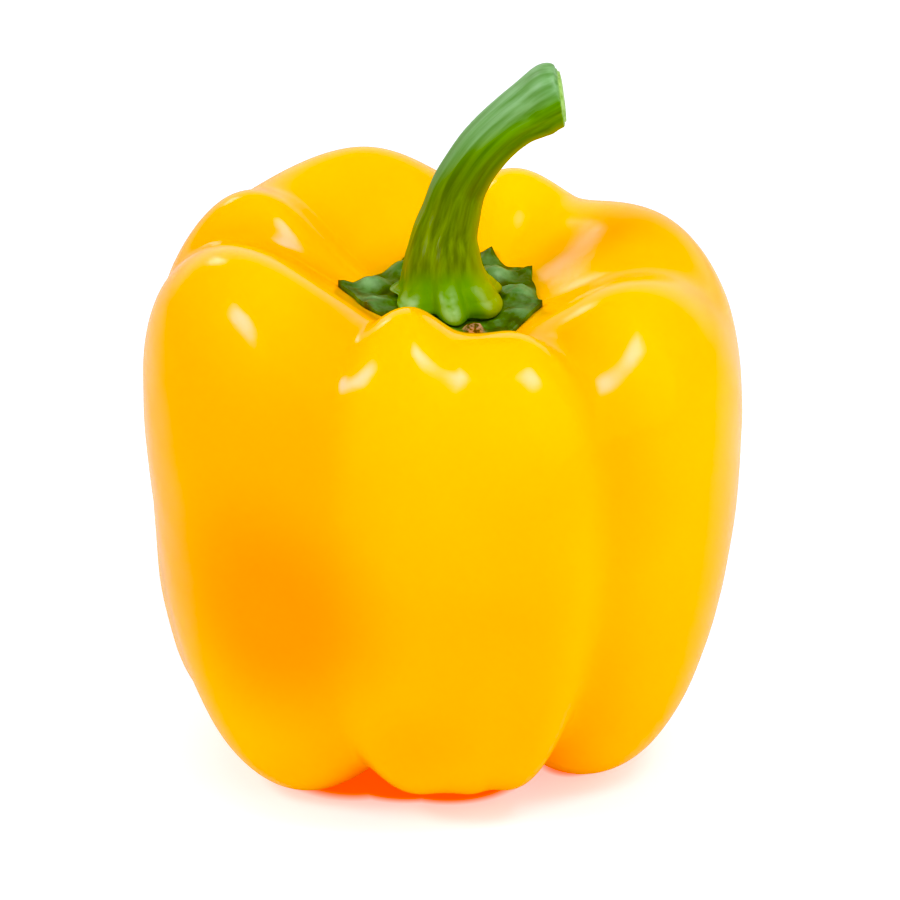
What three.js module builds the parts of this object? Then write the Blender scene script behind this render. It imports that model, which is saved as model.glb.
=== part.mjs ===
// Yellow bell pepper with its calyx and stem, standing on the low lobes of its blossom end.
// Millimetres, +Z up. The front faces -Y, and an azimuth turns from the front towards +X.

import * as THREE from 'three';

const CONTACT_GAP = 0.3; // between pieces that touch

// Heights where the shape of the shoulders takes over from that of the sides, and the sides from the foot.
const TOP_STARTS = 40;
const TOP_FULL = 75;
const FOOT_STARTS = 32;
const FOOT_FULL = 4;
const TURN_STARTS = 60; // below this a groove drifts from its azimuth at the top to that at the foot
const LIFT_RADIUS = 25; // inside this radius a shoulder's own lift and reach fade out
const LIFT_FADE = 1.5; // the power by which they do

const SHOULDER_COLUMNS = 8;
const ROW_STEPS = 3;

// The fruit's skin from the blossom scar underneath, up the side, over the shoulders and down to the
// seat of the calyx. In each row: radius and height on the crown of a shoulder, radius and height in
// a groove, and how softly the crown rounds off into the groove.
const PROFILE = [
  { crown: [0, 7], groove: [0, 7], softness: 0.6 },
  { crown: [5, 7], groove: [5, 7], softness: 0.6 },
  { crown: [12, 3], groove: [11, 6.5], softness: 0.6 },
  { crown: [18.5, -1], groove: [16, 5.5], softness: 0.45 },
  { crown: [28, -1.2], groove: [22.5, 5], softness: 0.35 },
  { crown: [38, 5.5], groove: [32, 9], softness: 0.35 },
  { crown: [42, 20], groove: [38, 21], softness: 0.4 },
  { crown: [43.3, 36], groove: [40, 36], softness: 0.4 },
  { crown: [44.2, 53], groove: [40.4, 52], softness: 0.4 },
  { crown: [42, 68.5], groove: [40.5, 66.5], softness: 0.4 },
  { crown: [34, 79], groove: [32, 73.5], softness: 0.4 },
  { crown: [25, 78], groove: [23, 72.5], softness: 0.4 },
  { crown: [18, 71.5], groove: [16.5, 69], softness: 0.4 },
  { crown: [12.5, 68], groove: [12.5, 67.5], softness: 0.4 },
  { crown: [5, 67], groove: [5, 67], softness: 0.6 },
  { crown: [0, 67], groove: [0, 67], softness: 0.6 },
];

// Grooves between the shoulders: azimuth at the top and at the foot in degrees, and how much of the
// full groove is there at the top, on the side and at the foot.
const GROOVES = [
  { azimuth: [-24, -23.5], depth: [0.9, 0.25, 0.65] },
  { azimuth: [3, 8], depth: [0.3, 0, 0] },
  { azimuth: [34, 31], depth: [0.8, 0.5, 0.85] },
  { azimuth: [88, 80], depth: [0.5, 0.35, 0.6] },
  { azimuth: [143, 136], depth: [0.45, 1, 1] },
  { azimuth: [175, 175], depth: [0.8, 0.3, 0.3] },
  { azimuth: [236, 228], depth: [0.3, 1, 1] },
  { azimuth: [267, 290], depth: [0.9, 0.3, 0.4] },
];

// Shoulders, each between one groove and the next: lift and reach at the top, lift and reach at the foot.
const SHOULDERS = [
  { top: [-1, -1], foot: [1.8, -3] }, // front left
  { top: [-5, -0.5], foot: [1.8, -3] }, // front right
  { top: [-3.2, -0.2], foot: [0, -2] }, // right, towards the front
  { top: [-2.4, 0.8], foot: [2, -0.5] }, // right, towards the back
  { top: [-0.8, -2], foot: [0, 0] }, // back right
  { top: [1.8, 1], foot: [0, 0] }, // back left
  { top: [2.2, -1], foot: [1, 1] }, // left, towards the back
  { top: [3, 3.2], foot: [0, 1] }, // left, towards the front
];

// The calyx lies on the seat in the hollow of the top.
const CALYX_RADIUS = 12.6; // between its teeth
const CALYX_EDGE = 0.9; // thickness at the margin
const CALYX_CORE = 2.6; // thickness under the stem
const CALYX_COLUMNS = 120;
const CALYX_UNDER_RINGS = [0.35, 0.7, 0.9, 1];
const CALYX_TOP_RINGS = [0.985, 0.93, 0.84, 0.72, 0.58, 0.35];
const LUMPS_START = [0, 1.6]; // the lumps rise between these distances from the stem's foot
const CALYX_LUMPS = [
  { x: 6.8, y: 6.2, radius: 3.8, height: 1.7 },
  { x: 10.2, y: 0, radius: 3.4, height: 1.4 },
  { x: 9.5, y: -7, radius: 2.8, height: 0.5 },
  { x: 0.5, y: 8.5, radius: 3.4, height: 1 },
  { x: -5.5, y: 6.5, radius: 3.8, height: 1.5 },
  { x: -10, y: 0.5, radius: 3.2, height: 1.2 },
  { x: -9.5, y: -6.5, radius: 2.6, height: 0.6 },
];
const TOOTH_SHARPNESS = 1.4;
const CALYX_LOBES = [
  { azimuth: 35, reach: 2.1, halfWidth: 62 },
  { azimuth: -60, reach: 1.2, halfWidth: 50 },
  { azimuth: 110, reach: 0.7, halfWidth: 34 },
  { azimuth: 138, reach: 0.9, halfWidth: 24 },
  { azimuth: -125, reach: -1.6, halfWidth: 48 },
];
const CALYX_TEETH = [
  { azimuth: -88, reach: 2.4, halfWidth: 16 },
  { azimuth: -50, reach: 0.8, halfWidth: 18 },
  { azimuth: -12, reach: 1.2, halfWidth: 18 },
  { azimuth: 32, reach: 0.5, halfWidth: 18 },
  { azimuth: 78, reach: 1, halfWidth: 16 },
  { azimuth: 124, reach: 1.7, halfWidth: 14 },
  { azimuth: 153, reach: 1.9, halfWidth: 14 },
  { azimuth: 198, reach: 1.8, halfWidth: 20 },
];
const SCAB = { x: 3.9, y: -13, radius: 1.3, height: 0.9 };

// The stem, from its foot on the calyx to its cut end: centre and radius at each station.
const STEM_STATIONS = [
  { centre: [0.35, -3.9, 69.9], radius: 6.9 },
  { centre: [0.3, -4, 70.4], radius: 7.6 },
  { centre: [0.1, -3.9, 71.1], radius: 7.15 },
  { centre: [-0.15, -3.6, 72.2], radius: 6.3 },
  { centre: [-0.3, -3.1, 73.8], radius: 5.75 },
  { centre: [-0.25, -2.4, 75.8], radius: 5.25 },
  { centre: [0, -1.6, 78.2], radius: 4.65 },
  { centre: [0.8, -0.8, 81], radius: 4.2 },
  { centre: [1.8, 0, 84.3], radius: 3.9 },
  { centre: [3.4, 0, 87.5], radius: 3.7 },
  { centre: [5.2, 0, 90.2], radius: 3.7 },
  { centre: [7.3, 0, 92.6], radius: 3.7 },
  { centre: [9.8, 0, 94.8], radius: 3.85 },
  { centre: [12.1, 0, 96.4], radius: 4.25 },
  { centre: [14.1, 0, 97.8], radius: 4.6 },
  { centre: [15.8, 0, 98.8], radius: 4.6 },
];
const STEM_COLUMNS = 40;
const STEM_RINGS = 26;
const RIB_VALLEYS = [-16, 27, 92, 150, 215, 282, 344]; // azimuths in degrees, all the way round
const RIB_SOFTNESS = 0.35; // the ribs are round and the valleys between them narrow
const RIB_HEIGHT = 0.025; // as a share of the stem's radius
const KNUCKLE_HEIGHT = 0.1; // the same at the foot
const KNUCKLE_ENDS = 0.35; // share of the stem's length where the knuckles have faded into the ribs
const FOOT_ENDS = 0.3; // share where the rings no longer follow the calyx under the foot
const UPRIGHT_ENDS = 0.35; // share of its length where the rings have turned from level to across the stem
const SLANT_STARTS = 0.77; // share where they begin to turn to the slant of the cut
const CUT_NORMAL = [0.985, 0, 0.15]; // the cut slants across the stem
const CUT_EDGE = 0.82; // radius of the cut face as a share of the stem's
const LIP_STARTS = 0.9; // share of its length where the upper side rounds down to the cut
const LIP_DROP = 0.38; // how far it comes down, as a share of the radius
const FOOT_RINGS = [0.5, 0.96]; // rings under the foot, as shares of its radius
const CUT_RISES = [0.5, 0.4]; // the cut face stands proud of the last ring at its edge and its middle

function smooth(value) {
  return THREE.MathUtils.smoothstep(value, 0, 1);
}

function mix(a, b, share) {
  return THREE.MathUtils.lerp(a, b, share);
}

function radians(degrees) {
  return THREE.MathUtils.degToRad(degrees);
}

// A wave that runs from 0 to 1 and back, with its sharp foot rounded off by the softness.
function rounded(wave, softness) {
  return (Math.hypot(wave, softness) - softness) / (Math.hypot(1, softness) - softness);
}

// Closed skin over rings of points and a pole at each end, with its faces pointing out.
function skin(firstPole, rings, lastPole) {
  const columns = rings[0].length;
  const points = [firstPole, ...rings.flat(), lastPole];
  const last = points.length - 1;
  const at = (ring, column) => 1 + ring * columns + (column % columns);
  const faces = [];
  for (let column = 0; column < columns; column += 1) {
    faces.push(0, at(0, column + 1), at(0, column));
    for (let ring = 0; ring + 1 < rings.length; ring += 1) {
      faces.push(at(ring, column), at(ring, column + 1), at(ring + 1, column + 1));
      faces.push(at(ring, column), at(ring + 1, column + 1), at(ring + 1, column));
    }
    faces.push(last, at(rings.length - 1, column), at(rings.length - 1, column + 1));
  }
  const geometry = new THREE.BufferGeometry().setFromPoints(points);
  geometry.setIndex(faces);
  geometry.computeVertexNormals();
  return geometry;
}

// A column counts shoulders: its whole part is the shoulder, and its fraction the way across it.
// Values that belong to a shoulder pass smoothly from the middle of one to the middle of the next.
function shoulderValues(column) {
  const count = SHOULDERS.length;
  const here = Math.floor(column) % count;
  const across = column - Math.floor(column);
  const beforeMiddle = across < 0.5;
  const from = SHOULDERS[beforeMiddle ? (here + count - 1) % count : here];
  const to = SHOULDERS[beforeMiddle ? here : (here + 1) % count];
  const share = smooth(beforeMiddle ? across + 0.5 : across - 0.5);
  return {
    topLift: mix(from.top[0], to.top[0], share),
    topReach: mix(from.top[1], to.top[1], share),
    footLift: mix(from.foot[0], to.foot[0], share),
    footReach: mix(from.foot[1], to.foot[1], share),
  };
}

// One control point of the fruit: groove and crown are mixed by a rounded hump over each shoulder,
// which starts from the depth of the two grooves beside it.
function controlPoint(row, column) {
  const [crownRadius, crownHeight] = row.crown;
  const [grooveRadius, grooveHeight] = row.groove;
  const here = Math.floor(column) % GROOVES.length;
  const across = column - Math.floor(column);
  const left = GROOVES[here];
  const right = GROOVES[(here + 1) % GROOVES.length];

  const top = smooth((crownHeight - TOP_STARTS) / (TOP_FULL - TOP_STARTS));
  const foot = smooth((FOOT_STARTS - crownHeight) / (FOOT_STARTS - FOOT_FULL));
  const turn = smooth((TURN_STARTS - crownHeight) / TURN_STARTS);
  const depth = (groove) => groove.depth[0] * top + groove.depth[1] * (1 - top - foot)
    + groove.depth[2] * foot;
  const start = mix(left.azimuth[0], left.azimuth[1], turn);
  const fullTurn = here + 1 === GROOVES.length ? 360 : 0;
  const end = mix(right.azimuth[0], right.azimuth[1], turn) + fullTurn;
  const azimuth = radians(mix(start, end, across));

  const hump = rounded(Math.sin(Math.PI * across), row.softness);
  const level = 1 - mix(depth(left), depth(right), smooth(across));
  const crownShare = mix(level, 1, hump);
  const own = shoulderValues(column);
  const outside = Math.min(crownRadius / LIFT_RADIUS, 1) ** LIFT_FADE;
  const reach = (own.topReach * top + own.footReach * foot) * outside;
  const lift = (own.topLift * top + own.footLift * foot) * outside;
  const radius = mix(grooveRadius, crownRadius, crownShare) + reach;
  const height = mix(grooveHeight, crownHeight, crownShare) + lift;
  return new THREE.Vector3(radius * Math.sin(azimuth), -radius * Math.cos(azimuth), height);
}

// Control points of one column, with the rows beyond both poles mirrored across the axis.
function controlColumn(column) {
  const points = PROFILE.map((row) => controlPoint(row, column));
  const mirrored = (point) => new THREE.Vector3(-point.x, -point.y, point.z);
  return [mirrored(points[1]), ...points, mirrored(points.at(-2))];
}

// Uniform cubic B-spline along a column of control points. The fruit lies flat where it meets the ground.
function fruitPoint(controls, rise) {
  const first = Math.min(Math.floor(rise), PROFILE.length - 2);
  const u = rise - first;
  const weights = [
    (1 - u) ** 3,
    3 * u ** 3 - 6 * u ** 2 + 4,
    -3 * u ** 3 + 3 * u ** 2 + 3 * u + 1,
    u ** 3,
  ];
  const point = new THREE.Vector3();
  weights.forEach((weight, k) => point.addScaledVector(controls[first + k], weight / 6));
  point.z = Math.max(point.z, 0);
  return point;
}

function makeFruit() {
  const columns = SHOULDERS.length * SHOULDER_COLUMNS;
  const ringCount = (PROFILE.length - 1) * ROW_STEPS;
  const controls = Array.from({ length: columns }, (_, k) => controlColumn(k / SHOULDER_COLUMNS));
  const ring = (k) => controls.map((column) => fruitPoint(column, k / ROW_STEPS));
  const rings = Array.from({ length: ringCount - 1 }, (_, k) => ring(k + 1));
  return skin(ring(0)[0], rings, ring(ringCount)[0]);
}

// Column of the fruit that lies at an azimuth, for the upper part where the grooves run straight.
function columnAt(azimuth) {
  const turned = THREE.MathUtils.euclideanModulo(azimuth - GROOVES[0].azimuth[0], 360);
  const starts = GROOVES.map((groove) => groove.azimuth[0] - GROOVES[0].azimuth[0]);
  const ends = [...starts.slice(1), 360];
  const here = ends.findIndex((end) => turned < end);
  return here + (turned - starts[here]) / (ends[here] - starts[here]);
}

// Height of the fruit's seat at a radius and azimuth, read off the profile between its pole and crest.
function seatHeight(radius, azimuth) {
  const controls = controlColumn(columnAt(azimuth));
  const steps = 60;
  const crestRow = PROFILE.length - 4;
  let inner = fruitPoint(controls, PROFILE.length - 1);
  for (let k = 1; k <= steps; k += 1) {
    const outer = fruitPoint(controls, mix(PROFILE.length - 1, crestRow, k / steps));
    const from = Math.hypot(inner.x, inner.y);
    const to = Math.hypot(outer.x, outer.y);
    if (to >= radius) {
      return mix(inner.z, outer.z, (radius - from) / (to - from));
    }
    inner = outer;
  }
  return inner.z;
}

function calyxMargin(azimuth) {
  const distance = (bump) => {
    const turned = THREE.MathUtils.euclideanModulo(azimuth - bump.azimuth + 180, 360) - 180;
    return Math.min(Math.abs(turned) / bump.halfWidth, 1);
  };
  const lobes = CALYX_LOBES.map((bump) => bump.reach * Math.cos(distance(bump) * Math.PI / 2) ** 2);
  const teeth = CALYX_TEETH.map((bump) => bump.reach * (1 - distance(bump)) ** TOOTH_SHARPNESS);
  return [...lobes, ...teeth].reduce((sum, reach) => sum + reach, CALYX_RADIUS);
}

function calyxUnderside(radius, azimuth) {
  return seatHeight(radius, azimuth) + CONTACT_GAP;
}

// Upper side of the calyx: thick under the stem, thin at the margin, domed lumps in between, and the scab.
function calyxTop(radius, azimuth) {
  const share = radius / calyxMargin(azimuth);
  const thickness = mix(CALYX_CORE, CALYX_EDGE, smooth(share));
  const x = radius * Math.sin(radians(azimuth));
  const y = -radius * Math.cos(radians(azimuth));
  const [footX, footY] = STEM_STATIONS[0].centre;
  const fromFoot = Math.hypot(x - footX, y - footY) - STEM_STATIONS[0].radius;
  const dome = (lump) => {
    const away = Math.min(Math.hypot(x - lump.x, y - lump.y) / lump.radius, 1);
    return lump.height * (1 - away ** 2) ** 2;
  };
  const domes = CALYX_LUMPS.reduce((sum, lump) => sum + dome(lump), 0);
  const lumps = domes * THREE.MathUtils.smoothstep(fromFoot, ...LUMPS_START);
  const scab = SCAB.height * Math.exp(-((Math.hypot(x - SCAB.x, y - SCAB.y) / SCAB.radius) ** 2));
  return calyxUnderside(radius, azimuth) + thickness + lumps + scab;
}

function calyxPoint(share, azimuth, height) {
  const radius = share * calyxMargin(azimuth);
  const angle = radians(azimuth);
  return new THREE.Vector3(radius * Math.sin(angle), -radius * Math.cos(angle), height(radius, azimuth));
}

function makeCalyx() {
  const azimuths = Array.from({ length: CALYX_COLUMNS }, (_, k) => k * 360 / CALYX_COLUMNS);
  const ring = (share, height) => azimuths.map((azimuth) => calyxPoint(share, azimuth, height));
  const rings = [
    ...CALYX_UNDER_RINGS.map((share) => ring(share, calyxUnderside)),
    ...CALYX_TOP_RINGS.map((share) => ring(share, calyxTop)),
  ];
  return skin(calyxPoint(0, 0, calyxUnderside), rings, calyxPoint(0, 0, calyxTop));
}

// Radius of the ribbed stem as a share of its station's, at an angle round it and a share of its length.
// Just before the cut the upper side, at the angle of three quarters of a turn, rounds down.
function ribShare(angle, along) {
  const knuckles = 1 - smooth(along / KNUCKLE_ENDS);
  const height = mix(RIB_HEIGHT, KNUCKLE_HEIGHT, knuckles);
  const azimuth = THREE.MathUtils.radToDeg(angle);
  const turned = azimuth < RIB_VALLEYS.at(-1) ? azimuth : azimuth - 360;
  const after = RIB_VALLEYS.findIndex((valley) => turned < valley);
  const [start, end] = [RIB_VALLEYS[after - 1], RIB_VALLEYS[after]];
  const wave = Math.sin(Math.PI * (turned - start) / (end - start));
  const hump = rounded(wave, RIB_SOFTNESS);
  const upperSide = Math.max(0, -Math.sin(angle));
  const past = Math.max(0, (along - LIP_STARTS) / (1 - LIP_STARTS));
  const lip = LIP_DROP * (1 - Math.sqrt(1 - past * past)) * upperSide;
  return 1 + height * (2 * hump - 1) - lip;
}

function stationRadius(along) {
  const place = along * (STEM_STATIONS.length - 1);
  const first = Math.min(Math.floor(place), STEM_STATIONS.length - 2);
  return mix(STEM_STATIONS[first].radius, STEM_STATIONS[first + 1].radius, place - first);
}

// Height of the stem's underside, which lies on the calyx.
function footHeight(x, y) {
  const azimuth = THREE.MathUtils.radToDeg(Math.atan2(x, -y));
  return calyxTop(Math.hypot(x, y), azimuth) + CONTACT_GAP;
}

function makeStem() {
  const path = new THREE.CatmullRomCurve3(STEM_STATIONS.map(({ centre }) => new THREE.Vector3(...centre)));
  const sideways = new THREE.Vector3(0, 1, 0);
  const upward = new THREE.Vector3(0, 0, 1);
  const angles = Array.from({ length: STEM_COLUMNS }, (_, k) => k * 2 * Math.PI / STEM_COLUMNS);

  const footRise = (angle) => {
    const reach = STEM_STATIONS[0].radius * ribShare(angle, 0);
    const [footX, footY, footZ] = STEM_STATIONS[0].centre;
    return footHeight(footX + reach * Math.sin(angle), footY - reach * Math.cos(angle)) - footZ;
  };

  const section = (along, share, normal) => {
    const centre = path.getPoint(along);
    const tangent = path.getTangent(along);
    const rightward = new THREE.Vector3().crossVectors(sideways, tangent).normalize();
    const frontward = new THREE.Vector3().crossVectors(rightward, tangent).normalize();
    return angles.map((angle) => {
      const radius = share * stationRadius(along) * ribShare(angle, along);
      const offset = new THREE.Vector3()
        .addScaledVector(rightward, radius * Math.sin(angle))
        .addScaledVector(frontward, radius * Math.cos(angle));
      offset.addScaledVector(tangent, -offset.dot(normal) / tangent.dot(normal));
      const point = offset.add(centre);
      point.z += footRise(angle) * (1 - smooth(along / FOOT_ENDS));
      return point;
    });
  };
  const underside = (share) => section(0, share, upward)
    .map((point) => point.setZ(footHeight(point.x, point.y)));

  const cut = new THREE.Vector3(...CUT_NORMAL).normalize();
  const rings = FOOT_RINGS.map(underside);
  for (let k = 1; k <= STEM_RINGS; k += 1) {
    const along = k / STEM_RINGS;
    const normal = upward.clone()
      .lerp(path.getTangent(along), smooth(along / UPRIGHT_ENDS))
      .lerp(cut, smooth((along - SLANT_STARTS) / (1 - SLANT_STARTS)));
    rings.push(section(along, 1, normal));
  }
  rings.push(section(1, CUT_EDGE, cut).map((point) => point.addScaledVector(cut, CUT_RISES[0])));
  const [footX, footY] = STEM_STATIONS[0].centre;
  const lowest = new THREE.Vector3(footX, footY, footHeight(footX, footY));
  const highest = path.getPoint(1).addScaledVector(cut, CUT_RISES[1]);
  return skin(lowest, rings, highest);
}

function piece(name, geometry, color, roughness) {
  const mesh = new THREE.Mesh(geometry, new THREE.MeshStandardMaterial({ color, roughness, metalness: 0 }));
  mesh.name = name;
  return mesh;
}

const pepper = new THREE.Group();
pepper.add(
  piece('fruit', makeFruit(), '#ffc300', 0.28),
  piece('calyx', makeCalyx(), '#3c6e4b', 0.65),
  piece('stem', makeStem(), '#7c9c2c', 0.5),
);

// The origin is on the ground, under the middle of the whole pepper.
const box = new THREE.Box3().setFromObject(pepper);
const middle = box.getCenter(new THREE.Vector3());
pepper.position.set(-middle.x, -middle.y, -box.min.z);

export default pepper;
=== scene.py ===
"""A yellow bell pepper on a white table, seen slightly from above, in soft studio light."""

import math

import bpy
import mathutils
import numpy as np
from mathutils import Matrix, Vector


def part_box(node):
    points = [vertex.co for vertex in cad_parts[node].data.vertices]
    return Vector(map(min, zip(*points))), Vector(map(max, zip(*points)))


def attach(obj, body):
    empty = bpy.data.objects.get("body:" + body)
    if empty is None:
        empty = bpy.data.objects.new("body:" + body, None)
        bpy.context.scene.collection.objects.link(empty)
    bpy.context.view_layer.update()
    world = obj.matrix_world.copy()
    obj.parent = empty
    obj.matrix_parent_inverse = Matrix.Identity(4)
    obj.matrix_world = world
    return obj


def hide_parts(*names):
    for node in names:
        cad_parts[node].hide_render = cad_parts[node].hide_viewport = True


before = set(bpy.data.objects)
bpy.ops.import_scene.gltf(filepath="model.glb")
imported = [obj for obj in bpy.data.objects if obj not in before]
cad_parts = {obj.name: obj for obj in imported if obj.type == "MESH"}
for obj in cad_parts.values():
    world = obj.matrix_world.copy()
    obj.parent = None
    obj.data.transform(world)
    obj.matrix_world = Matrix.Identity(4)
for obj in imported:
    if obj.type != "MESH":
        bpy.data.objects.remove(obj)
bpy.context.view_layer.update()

MM = 0.001

# Camera: the picture is 900 pixels across, and the middle of the fruit is 6.93 pixels to the millimetre.
PICTURE_PIXELS = 900
PIXELS_PER_MM = 6.93
CAMERA_DISTANCE = 0.700
CAMERA_ELEVATION = 24
CAMERA_TARGET = (0, 0, 0.040)
TARGET_PIXEL = (445, 478)
SENSOR_MM = 36

# The fruit's skin, in millimetres, from the blossom scar underneath, up the side, over the shoulders
# and down to the seat of the calyx. In each row: radius and height on the crown of a shoulder, radius
# and height in a groove, and how softly the crown rounds off into the groove.
PROFILE = np.array([
    (0.0, 7.0, 0.0, 7.0, 0.6),
    (5.0, 7.0, 5.0, 7.0, 0.6),
    (12.0, 3.0, 11.0, 6.5, 0.6),
    (18.5, -1.0, 16.0, 5.5, 0.45),
    (28.0, -1.2, 22.5, 5.0, 0.35),
    (38.0, 5.5, 32.0, 9.0, 0.35),
    (42.0, 20.0, 38.0, 21.0, 0.4),
    (43.3, 36.0, 40.0, 36.0, 0.4),
    (44.2, 53.0, 40.4, 52.0, 0.4),
    (42.0, 68.5, 40.5, 66.5, 0.4),
    (34.0, 79.0, 32.0, 73.5, 0.4),
    (25.0, 78.0, 23.0, 72.5, 0.4),
    (18.0, 71.5, 16.5, 69.0, 0.4),
    (12.5, 68.0, 12.5, 67.5, 0.4),
    (5.0, 67.0, 5.0, 67.0, 0.6),
    (0.0, 67.0, 0.0, 67.0, 0.6),
])
LAST_ROW = len(PROFILE) - 1
CREST_ROW = 12

# Grooves: azimuth at the top and at the foot in degrees from the front towards +X, and how much of
# the full groove is there at the top, on the side and at the foot.
GROOVES = np.array([
    (-24, -23.5, 0.9, 0.25, 0.65),
    (3, 8, 0.3, 0.0, 0.0),
    (34, 31, 0.8, 0.5, 0.85),
    (88, 80, 0.5, 0.35, 0.6),
    (143, 136, 0.45, 1.0, 1.0),
    (175, 175, 0.8, 0.3, 0.3),
    (236, 228, 0.3, 1.0, 1.0),
    (267, 290, 0.9, 0.3, 0.4),
])

# Shoulders, each between one groove and the next: lift and reach at the top, lift and reach at the foot.
SHOULDERS = np.array([
    (-1.0, -1.0, 1.8, -3.0),
    (-5.0, -0.5, 1.8, -3.0),
    (-3.2, -0.2, 0.0, -2.0),
    (-2.4, 0.8, 2.0, -0.5),
    (-0.8, -2.0, 0.0, 0.0),
    (1.8, 1.0, 0.0, 0.0),
    (2.2, -1.0, 1.0, 1.0),
    (3.0, 3.2, 0.0, 1.0),
])
# Heights in millimetres between which grooves and shoulders change from the side to the top, and from the
# side to the foot. Below the next one, the grooves turn to their azimuth at the foot. Shoulders have their
# full lift and reach from LIFT_RADIUS outwards.
TOP_STARTS, TOP_FULL = 40, 75
FOOT_STARTS, FOOT_FULL = 32, 4
TURN_STARTS = 60
LIFT_RADIUS = 25
# Points across each shoulder, steps from row to row, and steps of a meridian in the hollow of the top.
SHOULDER_COLUMNS = 44
ROW_STEPS = 18
MERIDIAN_STEPS = 60

# Unevenness of the fruit's skin and of the calyx: wavelength and height in millimetres, and seed.
SKIN_WAVES = [(24, 0.18, 1), (9, 0.05, 2)]
CALYX_WAVES = [(4.5, 0.3, 3), (2.0, 0.12, 4)]

# Calyx, in millimetres and degrees. A lobe or tooth is its azimuth, reach and half width.
CALYX_RADIUS = 12.6
CALYX_EDGE = 1.1
CALYX_CORE = 2.8
CALYX_SUNK = 0.4
CALYX_COLUMNS = 480
CALYX_LOBES = [(35, 2.1, 62), (-60, 1.2, 50), (110, 0.7, 34), (138, 0.9, 24), (-125, -1.6, 48)]
CALYX_TEETH = [
    (-88, 2.4, 16), (-50, 0.8, 18), (-12, 1.2, 18), (32, 0.5, 18),
    (78, 1.0, 16), (124, 1.7, 14), (153, 1.9, 14), (198, 1.8, 20),
]
# Lumps of the calyx: place, radius and height. They rise over the next 1.6 mm beside the stem's foot.
LUMPS_RISE = 1.6
CALYX_LUMPS = [
    (6.8, 6.2, 3.8, 1.7), (10.2, 0.0, 3.4, 1.4), (9.5, -7.0, 2.8, 0.5), (0.5, 8.5, 3.4, 1.0),
    (-5.5, 6.5, 3.8, 1.5), (-10.0, 0.5, 3.2, 1.2), (-9.5, -6.5, 2.6, 0.6),
]
# Height of the rib to each tooth, drop of the rounded edge from its start to the margin, and the rings of
# the underside and of the top, all shares being of the radius.
CALYX_RIB = 0.3
CALYX_ROUNDING = 0.35
ROUNDING_STARTS = 0.94
CALYX_UNDER_SHARES = np.linspace(0.2, 1, 14)
CALYX_TOP_SHARES = np.concatenate([[0.997, 0.985], np.linspace(0.965, 0.3, 60)])
# Scab: place, radius and height, and the wavelength, depth and seed of its pits.
SCAB = (3.9, -13.0)
SCAB_RADIUS = 1.3
SCAB_HEIGHT = 0.9
SCAB_PITS = (0.8, 0.35, 5)

# Stem: centre and radius at each station in millimetres, from its foot to its cut end.
STEM_STATIONS = np.array([
    (0.35, -3.9, 69.9, 6.9),
    (0.3, -4.0, 70.4, 7.6),
    (0.1, -3.9, 71.1, 7.15),
    (-0.15, -3.6, 72.2, 6.3),
    (-0.3, -3.1, 73.8, 5.75),
    (-0.25, -2.4, 75.8, 5.25),
    (0.0, -1.6, 78.2, 4.65),
    (0.8, -0.8, 81.0, 4.2),
    (1.8, 0.0, 84.3, 3.9),
    (3.4, 0.0, 87.5, 3.7),
    (5.2, 0.0, 90.2, 3.7),
    (7.3, 0.0, 92.6, 3.7),
    (9.8, 0.0, 94.8, 3.85),
    (12.1, 0.0, 96.4, 4.25),
    (14.1, 0.0, 97.8, 4.6),
    (15.8, 0.0, 98.8, 4.6),
])
STEM_COLUMNS = 240
STEM_RINGS = 240
RIB_VALLEYS = np.array([-16, 27, 92, 150, 215, 282, 344])
RIB_SOFTNESS = 0.35
# Height of the ribs and of the knuckles as a share of the radius. Knuckles end at a share of the length.
RIB_HEIGHT = 0.025
KNUCKLE_HEIGHT = 0.105
KNUCKLES_END = 0.35
# The foot: two rings inside its outline and how far they are pressed into the leaf, how far above the leaf
# its rim is at the ribs and how much higher in the valleys, and the share of the length where the stem
# stops following the leaf.
FOOT_SHARES = np.array([0.8, 0.94])
FOOT_PRESSED = np.array([0.8, 0.1])
FOOT_RIM = 0.1
FOOT_ROUNDING = 0.3
FOOT_FOLLOWS = 0.3
# The cut end: its direction, where the rings begin to slant towards it, where the lip begins and how far it
# curls down, and the rings of the cut as shares of its outline with their height and how pale they are.
CUT_NORMAL = np.array([0.985, 0.0, 0.15])
SLANT_STARTS = 0.77
LIP_STARTS = 0.9
LIP_DROP = 0.38
CUT_SHARES = np.array([0.97, 0.92, 0.87, 0.84, 0.6, 0.3])
CUT_RISES = np.array([0.15, 0.22, 0.22, 0.5, 0.6, 0.6])
CUT_COLOURED = [0.3, 0.6, 1, 1, 1, 1]
# Length of the straightened stem, on which its fibres are laid out.
STEM_LENGTH = 42.0


def smooth(value):
    """Smoothstep: 3 v^2 - 2 v^3 of the value held between 0 and 1."""
    value = np.clip(value, 0, 1)
    return value * value * (3 - 2 * value)


def mix(a, b, share):
    """a and b blended: a where share is 0, b where it is 1."""
    return a + (b - a) * share


def turned(azimuth, middle):
    """Degrees from middle to azimuth, between -180 and 180."""
    return (azimuth - middle + 180) % 360 - 180


def ripple(points, wavelength, seed):
    """Smooth unevenness between about -1 and 1: three crossed sine waves of one wavelength, each bent
    by a slower wave, with phases and directions drawn from the seed."""
    draw = np.random.default_rng(seed)
    height = 0
    for _ in range(3):
        direction = draw.normal(size=3)
        direction /= np.linalg.norm(direction)
        phase = draw.uniform(0, 2 * math.pi, 2)
        bend = np.sin(points @ draw.normal(size=3) * math.pi / wavelength + phase[1])
        height = height + np.sin(points @ direction * 2 * math.pi / wavelength + phase[0] + bend)
    return height / 3


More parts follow.
